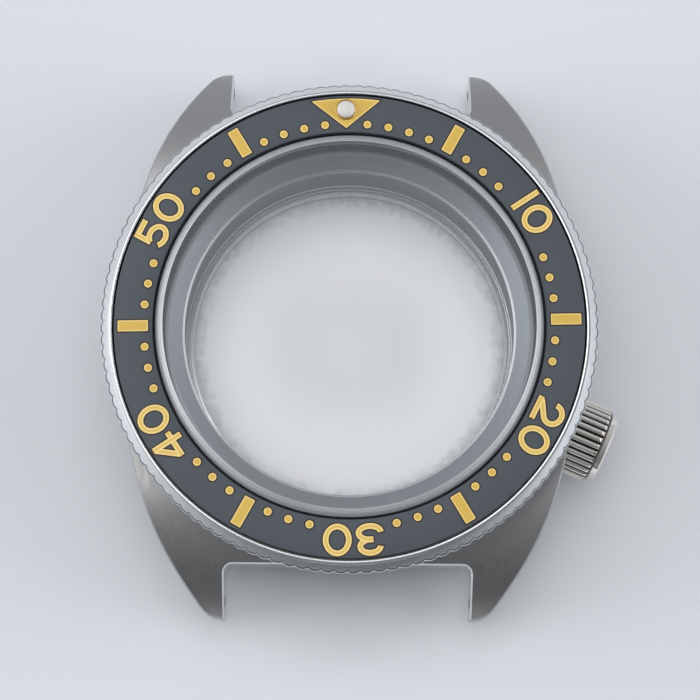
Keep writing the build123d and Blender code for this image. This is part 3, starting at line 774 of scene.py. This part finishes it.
def digitPaths(digit):   # the digit's width, and its strokes in millimetres over the baseline
    h, w = marks["numeralHeight"], marks["stroke"] / 2
    return {
        "0": (2.25, ellipseArc(1.125, h / 2, 1.125 - w, h / 2 - w, 0, 360, 56)[:-1]),
        "1": (2 * w, [(w, 0), (w, h)]),
        "2": (2.04, ellipseArc(1.03, 1.60, 0.78, h - w - 1.60, 182, -48) + [(0.30, w + 0.10)],
              [(0.06, w), (2.02, w)]),
        "3": (2.16, ellipseArc(1.08, 1.80, 0.80, h - w - 1.80, 178, -90) + [(0.82, 1.27)],
              [(0.82, 1.27)] + ellipseArc(1.08, 0.745, 0.87, 0.525, 90, -178)),
        "4": (2.2, [(1.44, h - 0.18), (0.16, 0.84)], [(0.02, 0.80), (2.2, 0.80)], [(1.52, 0), (1.52, h)]),
        "5": (1.95, [(1.68, h - w), (0.10, h - w)], [(0.30, h), (0.24, 1.10)],
              ellipseArc(0.95, 0.86, 0.80, 0.86 - w, 152, -146)),
    }[digit]


def numeralStrokes(text):   # the digits side by side, each leaning with the circle, at the minute they name
    digits = [(digit == "0", *digitPaths(digit)) for digit in text]   # only a zero's stroke closes
    gap = marks["space"] + (marks["spaceByOne"] if "1" in text else 0)
    left = -(sum(width for _, width, *_ in digits) + gap * (len(text) - 1)) / 2
    turn = Matrix.Rotation(math.radians(bezelTurn - 6 * int(text)), 2)
    halfHeight = marks["numeralHeight"] / 2
    placed = []
    for closed, width, *paths in digits:
        middle = Vector((left + width / 2, marks["numeralBase"] + halfHeight))
        lean = Matrix.Rotation(-marks["digitLean"] * middle.x / middle.y, 2)
        for path in paths:
            spots = [turn @ (lean @ Vector((x - width / 2, y - halfHeight)) + middle) for x, y in path]
            placed.append(([tuple(spot) for spot in spots], closed))
        left += width + gap
    return placed


def minuteMark(name, border, fromFive, toFive, besideTwelve):
    for material, height, extra, suffix in layers:
        obj = newObject(name + suffix, fanMesh(name + suffix, border, height, extra, material))
        grow(obj, minuteMarks, {"Count": 60, "From Five": fromFive, "To Five": toFive,
                                "Beside Twelve": besideTwelve, "Turn": turnAngle, "Material": material})
        settle(obj, "bezel", [])


minuteDot = [(x, y + marks["dotCircle"]) for x, y in (polar(marks["dotRadius"], 15 * i) for i in range(24))]
half = marks["barWidth"] / 2
minuteMark("minuteDots", minuteDot, 0.5, 3.5, True)
minuteMark("fiveBars", box(-half, half, marks["barInner"], marks["barOuter"]), -1.0, 0.5, False)
for text in ("10", "20", "30", "40", "50"):
    strokes = numeralStrokes(text)
    for material, height, extra, suffix in layers:
        name = "numeral" + text + suffix
        mesh = ribbonMesh(name, strokes, marks["stroke"] + 2 * extra, height, material)
        for face in mesh.polygons:
            face.use_smooth = False
        mesh.update()
        dress(newObject(name, mesh), "bezel", [])
spread = marks["triangleHalf"]
triangle = [(0, marks["triangleTip"])] + [polar(marks["triangleTop"], 90 + a) for a in np.linspace(-spread, spread, 13)]
for material, height, extra, suffix in layers:
    mesh = fanMesh("triangle" + suffix, triangle, height, extra, material)
    settle(newObject("triangle" + suffix, mesh), "bezel", [], turnPlace)

pip = dict(circle=17.6, radius=0.88, wall=0.17, depth=0.7, stand=0.12, floor=0.15, dome=0.24, play=0.01,
           outerBevel=(0.085, 0.06), innerBevel=0.03)
pipPlace = turnPlace @ Matrix.Translation((0, pip["circle"] * mm, (insert["top"] - pip["depth"]) * mm))
rimTop, cupBore = pip["depth"] + pip["stand"], pip["radius"] - pip["wall"]
lumeRadius = cupBore - pip["play"]
bevelIn, bevelDown = pip["outerBevel"]
turned("pipCup", [(0, 0), (pip["radius"], 0), (pip["radius"], rimTop - bevelDown), (pip["radius"] - bevelIn, rimTop),
                  (cupBore, rimTop - pip["innerBevel"]), (cupBore, pip["floor"]), (0, pip["floor"])],
       giltMetal, "bezel", ["pip_cup"], 0.03, 64, pipPlace)
dome = [(math.cos(a) * lumeRadius, rimTop + math.sin(a) * pip["dome"]) for a in np.linspace(0, math.pi / 2, 9)]
turned("lumePip", [(0, pip["floor"]), (lumeRadius, pip["floor"]), *dome],
       lume, "bezel", ["lume_pip"], 0, 64, pipPlace)
print("bezel made")


# crown and its tube

crown = dict(inner=18.85, bodyEnd=22.5, end=23.03, radius=3.15, flutes=32, flutePoints=20, fluteDepth=0.22,
             rimFall=0.3, rimLength=0.5, bodyRows=(19.35, 21.8), discRadius=2.75, discBevel=0.12, bore=1.35,
             # radius and height of the post's chamber, from its end to the washer
             chamber=((0, 22.43), (1.2, 22.43), (1.2, 20.6), (1.56, 20.6), (1.56, 20.45)))
tube = dict(bore=0.75, radius=1.3, low=16.0, high=20.3, bevel=0.1,
            thread=dict(crest=1.3, low=18.9, high=20.15, pitch=0.35, depth=0.14))


def crownSteel():   # warm steel, with painted shade down in the valleys and a painted highlight along the crests
    f = Finish("crownSteel", (0.085, 0.075, 0.065), 1.0, 0.13, ("piece", 1500, 0.05), ("piece", 1500, 0.0012))
    fromCentre = f.vectorCalc("SUBTRACT", "Vector", f.place, crownPlace.translation)
    across = f.vectorCalc("CROSS_PRODUCT", "Vector", fromCentre, crownPlace.col[2].xyz)
    radius = f.vectorCalc("LENGTH", "Value", across)
    valley, crest = (crown["radius"] - share * crown["fluteDepth"] for share in (0.8, 0.15))
    disc = radius.calc("LESS_THAN", (crown["discRadius"] + 0.02) * mm)
    # valleys dark as painted shade; crests and the end face bright as a painted highlight
    f.varyColor(disc.calc("MAXIMUM", f.ramp(radius, valley * mm, crest * mm)), (0.98, 0.91, 0.845))
    return f.material


def crownMesh(material):
    radius, inner, end, fall = crown["radius"], crown["inner"], crown["bodyEnd"], crown["rimFall"]
    length, disc, discEnd, bevel = crown["rimLength"], crown["discRadius"], crown["end"], crown["discBevel"]
    innerRim = [(radius - fall + k * fall / 6, inner + fall * (1 - math.sqrt(1 - (k / 6) ** 2))) for k in range(7)]
    outerRim = [(radius - fall * (k / 8) ** 2, end - length * (1 - k / 8)) for k in range(9)]
    body = evenly(*((radius, z) for z in crown["bodyRows"]), 8)
    face = [(disc, end), (disc, discEnd - bevel), (disc - bevel, discEnd), (0, discEnd)]
    bore = [(crown["bore"], crown["chamber"][-1][1]), (crown["bore"], inner)]
    outline = [*crown["chamber"], *bore, *innerRim, *body, *outerRim, *face]
    return turnedMesh("crown", outline, crown["flutes"] * crown["flutePoints"], material)


def threaded(name, outline, segments, material, thread):
    obj = newObject(name, turnedMesh(name, outline, segments, material))
    sizes = {key.capitalize(): value * mm for key, value in thread.items()}
    return grow(obj, threadCut, {**sizes, "Material": material})


def fineRows(radius, low, high, step=0.05):
    return evenly((radius, low), (radius, high), max(2, round((high - low) / step)))


crownMetal = crownSteel()
crownHead = newObject("crown", crownMesh(crownMetal))
grow(crownHead, lobedEdge, {"Count": float(crown["flutes"]), "Peak": crown["radius"] * mm,
                            "Depth": crown["fluteDepth"] * mm, "Turn": 0.0, "Material": crownMetal})
settle(crownHead, "crown", ["crown_head"], crownPlace)
tubeOutline = [(tube["bore"], tube["high"]), (tube["bore"], tube["low"]), (tube["radius"], tube["low"]),
               *fineRows(tube["radius"], tube["low"] + tube["bevel"], tube["high"] - tube["bevel"]),
               (tube["radius"] - tube["bevel"], tube["high"])]
crownTube = threaded("crownTube", tubeOutline, 64, polished, tube["thread"])
settle(crownTube, "case", ["crown_tube"], crownPlace)
print("crown made")


# case back

back = dict(flange=17.75, thickness=1.3, bevel=0.35, neck=15.85, neckTop=2.85, window=13.05, lip=1.35, glassWall=14.3,
            slots=6, slotWidth=3.0, slotDepth=0.9, slotHeight=0.8, pitch=0.5, threadDepth=0.2,
            # two fine steps and a bevel that catch the light, out from the window and down from the top
            lipRings=((0.62, 0), (0.55, 0.07), (0.45, 0.07), (0.38, 0), (0.30, 0), (0.24, 0.06), (0.12, 0.06),
                      (0, 0.2)))
pane = dict(radius=13.85, thickness=1.2, bevel=0.15, gap=0.01)
# painted light and shade on the back glass: paler outward, and a ragged painted shadow band at its edge
backLightAndShade = dict(pale=(0.93, 0.93, 0.95, 1.0), edge=(0.46, 0.48, 0.51, 1.0), paleFrom=3.0, paleTo=10.0, shadowFrom=12.4,
            shadowTo=14.2, ragged=1.4)


def frostedBackLightAndShade():   # film on the display glass: pale, paler still from the middle outward as painted light against the shade of the case walls, and greyer in a ragged band along its edge as a painted shadow
    f = Finish("backSapphire", (0.72, 0.72, 0.74), 0.0, 0.45, Alpha=0.85)
    radius = f.radius(*f.split(f.place)[:2])
    ragged = f.noise("piece", 1500, 5.0) * (backLightAndShade["ragged"] * mm) + radius
    paintedShadow = f.ramp(ragged, backLightAndShade["shadowFrom"] * mm, backLightAndShade["shadowTo"] * mm)
    inward = f.ramp(radius, backLightAndShade["paleFrom"] * mm, backLightAndShade["paleTo"] * mm)
    middle = f.mixColors(inward, f.color, backLightAndShade["pale"])
    f.feed(f.shader.inputs["Base Color"], f.mixColors(paintedShadow, middle, backLightAndShade["edge"]))
    return f.material


def slotCutterMesh():
    corners = [(back["flange"] + sx * back["slotDepth"], sy * back["slotWidth"] / 2, sz * back["slotHeight"])
               for sx in (-1, 1) for sy in (-1, 1) for sz in (-1, 1)]
    sides = [(0, 1, 3, 2), (4, 6, 7, 5), (0, 4, 5, 1), (2, 3, 7, 6), (0, 2, 6, 4), (1, 5, 7, 3)]
    return rawMesh("slotCutter", corners, sides, [lathed])


backOutline = [(back["glassWall"], 0), (back["flange"] - back["bevel"], 0), (back["flange"], back["bevel"]),
               (back["flange"], back["thickness"]), (back["neck"], back["thickness"]),
               *fineRows(back["neck"], back["thickness"] + 0.05, back["neckTop"] - 0.05),
               (back["neck"] - 0.1, back["neckTop"]),
               *((back["window"] + r, back["neckTop"] - z) for r, z in back["lipRings"]),
               (back["window"], back["lip"]), (back["glassWall"], back["lip"])]
backThread = dict(crest=back["neck"], low=back["thickness"] + 0.9, high=back["neckTop"] - 0.06, pitch=back["pitch"],
                  depth=back["threadDepth"])
caseback = threaded("casebackRing", backOutline, 256, lathed, backThread)
finishMesh(caseback.data)
slotCutter = grow(newObject("slotCutter", slotCutterMesh()), openerSlots,
                  {"Count": back["slots"], "Turn": math.pi / back["slots"], "Material": lathed})
cut(caseback, slotCutter)
settle(caseback, "caseback", ["caseback_ring"])
paneEdge, ringWall = pane["radius"] + pane["gap"], back["glassWall"] - pane["gap"]
turned("casebackGlass", [(0, 0), (pane["radius"] - pane["bevel"], 0), (pane["radius"], pane["bevel"]),
                         (pane["radius"], pane["thickness"]), (0, pane["thickness"])],
       frostedBackLightAndShade(), "caseback", ["caseback_glass"], 0.02)
turned("casebackGlassGasket", [(paneEdge, pane["bevel"]), (ringWall, pane["bevel"]), (ringWall, back["lip"]),
                               (back["window"], back["lip"]), (back["window"], pane["thickness"]),
                               (paneEdge, pane["thickness"])],
       blackNylon, "caseback", ["caseback_glass_gasket"], 0.02)
print("case back made")


# springs

clickSpring = dict(outer=0.55, wire=0.16, low=4.4, high=5.9, turns=4)
crownSpring = dict(outer=1.15, wire=0.16, low=20.9, high=22.43, turns=4)
clickPlace = Matrix.Translation((*(c * mm for c in polar(17.9, 45)), 0))


def springMesh(name, outer, wire, low, high, turns):   # helix of round wire, cut off square at both ends
    sides, steps = 12, 32
    radius = outer - wire / 2
    points, faces = [], []
    rows = turns * steps + 1
    for i in range(rows):
        t = i / (rows - 1)
        x, y = polar(1, 360 * turns * t)
        z = low + wire / 2 + (high - low - wire) * t
        for k in range(sides):
            out, up = polar(wire / 2, 360 * k / sides)
            points.append(((radius + out) * x, (radius + out) * y, z + up))
    rings = [range(i * sides, (i + 1) * sides) for i in range(rows)]
    for here, there in zip(rings, rings[1:]):
        faces += bandFaces(here, there)
    return rawMesh(name, points, faces + [tuple(rings[0]), tuple(rings[-1])], [springSteel])


def pressedSpring(name, size, place, body, node):
    spring = settle(newObject(name, springMesh(name, **size)), body, [node], place)
    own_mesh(spring)


pressedSpring("clickSpring", clickSpring, clickPlace, "case", "click_spring")
pressedSpring("crownSpring", crownSpring, crownPlace, "crown", "crown_spring")

innerPieces = dict(insert_adhesive=adhesive, click_pin=polished, crown_washer=polished, crown_post=polished)
for node, material in innerPieces.items():   # these keep their own shape and get their finish
    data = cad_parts[node].data
    data.materials.clear()
    data.materials.append(material)
print("springs made")


# floor, light and camera

paleFloor = Finish("paleFloor", (0.475, 0.495, 0.52), 0.0, 0.8, tint=(6, (0.49, 0.51, 0.535)),
                   Specular_IOR_Level=0.15).material
floorHalf = 1500
floor = newObject("floor", rawMesh("floor", [(x, y, 0) for x, y in box(-floorHalf, floorHalf, -floorHalf, floorHalf)],
                                   [(0, 1, 2, 3)], [paleFloor]))
floor.location.z = -0.02 * mm


def lamp(name, at, size, power, seen, lights=True):   # seen by reflections or not; lights=False: only seen
    data = bpy.data.lights.new(name, "AREA")
    data.shape, data.size, data.size_y = "RECTANGLE", size[0] * mm, size[1] * mm
    data.energy = power
    obj = newObject(name, data)
    obj.location = Vector(at) * mm
    obj.rotation_euler = (-obj.location).to_track_quat("-Z", "Y").to_euler()
    obj.visible_glossy, obj.visible_diffuse = seen, lights


lamp("left", (-460, 30, 110), (420, 180), 2.3, seen=False)
lamp("right", (460, -10, 100), (380, 160), 2.3, seen=False)
lamp("highLeft", (-330, 20, 330), (320, 50), 0.22, seen=True)
lamp("highRight", (330, 0, 330), (320, 40), 0.20, seen=True)
lamp("above", (-40, 120, 600), (620, 620), 2.6, seen=False)
lamp("overhead", (-140, 130, 600), (300, 280), 0.44, seen=True, lights=False)
lamp("front", (40, -520, 150), (360, 110), 0.07, seen=True, lights=False)

sky = dict(color=(0.90, 0.945, 1.0, 1.0), level=0.32, sides=0.85, sidePower=4.0, slant=(-0.12, 0.24, 0.0))


def studioWorld():   # soft light from all sides, stronger from 9 and 3 o'clock and weaker from 6, where the camera is
    world = bpy.data.worlds.new("studio")
    world.use_nodes = True
    g = Graph(world.node_tree)
    direction = g.take("ShaderNodeTexCoord", output="Generated")
    sides = g.split(direction)[0].calc("POWER", sky["sidePower"])
    slant = g.vectorCalc("DOT_PRODUCT", "Value", direction, sky["slant"])
    background = world.node_tree.nodes["Background"].inputs
    background["Color"].default_value = sky["color"]
    g.feed(background["Strength"], sides * sky["sides"] + sky["level"] + slant)
    return world


scene.world = studioWorld()
scene.view_settings.view_transform = "Standard"
scene.view_settings.exposure = 0.02

view = dict(lens=106.25, sensor=36.0, at=(-0.594, -31.873, 173.322), right=(0.99996, 0.0075, 0.00534),
            up=(-0.00834, 0.98351, 0.18067), away=(-0.0039, -0.1807, 0.98353))
camera = newObject("camera", bpy.data.cameras.new("camera"))
camera.data.lens, camera.data.sensor_width = view["lens"], view["sensor"]
camera.data.clip_start, camera.data.clip_end = 0.01, 10.0
camera.matrix_world = Matrix([(view["right"][i], view["up"][i], view["away"][i], view["at"][i] * mm)
                              for i in range(3)] + [(0, 0, 0, 1)])
scene.camera = camera
print("floor, light and camera made")
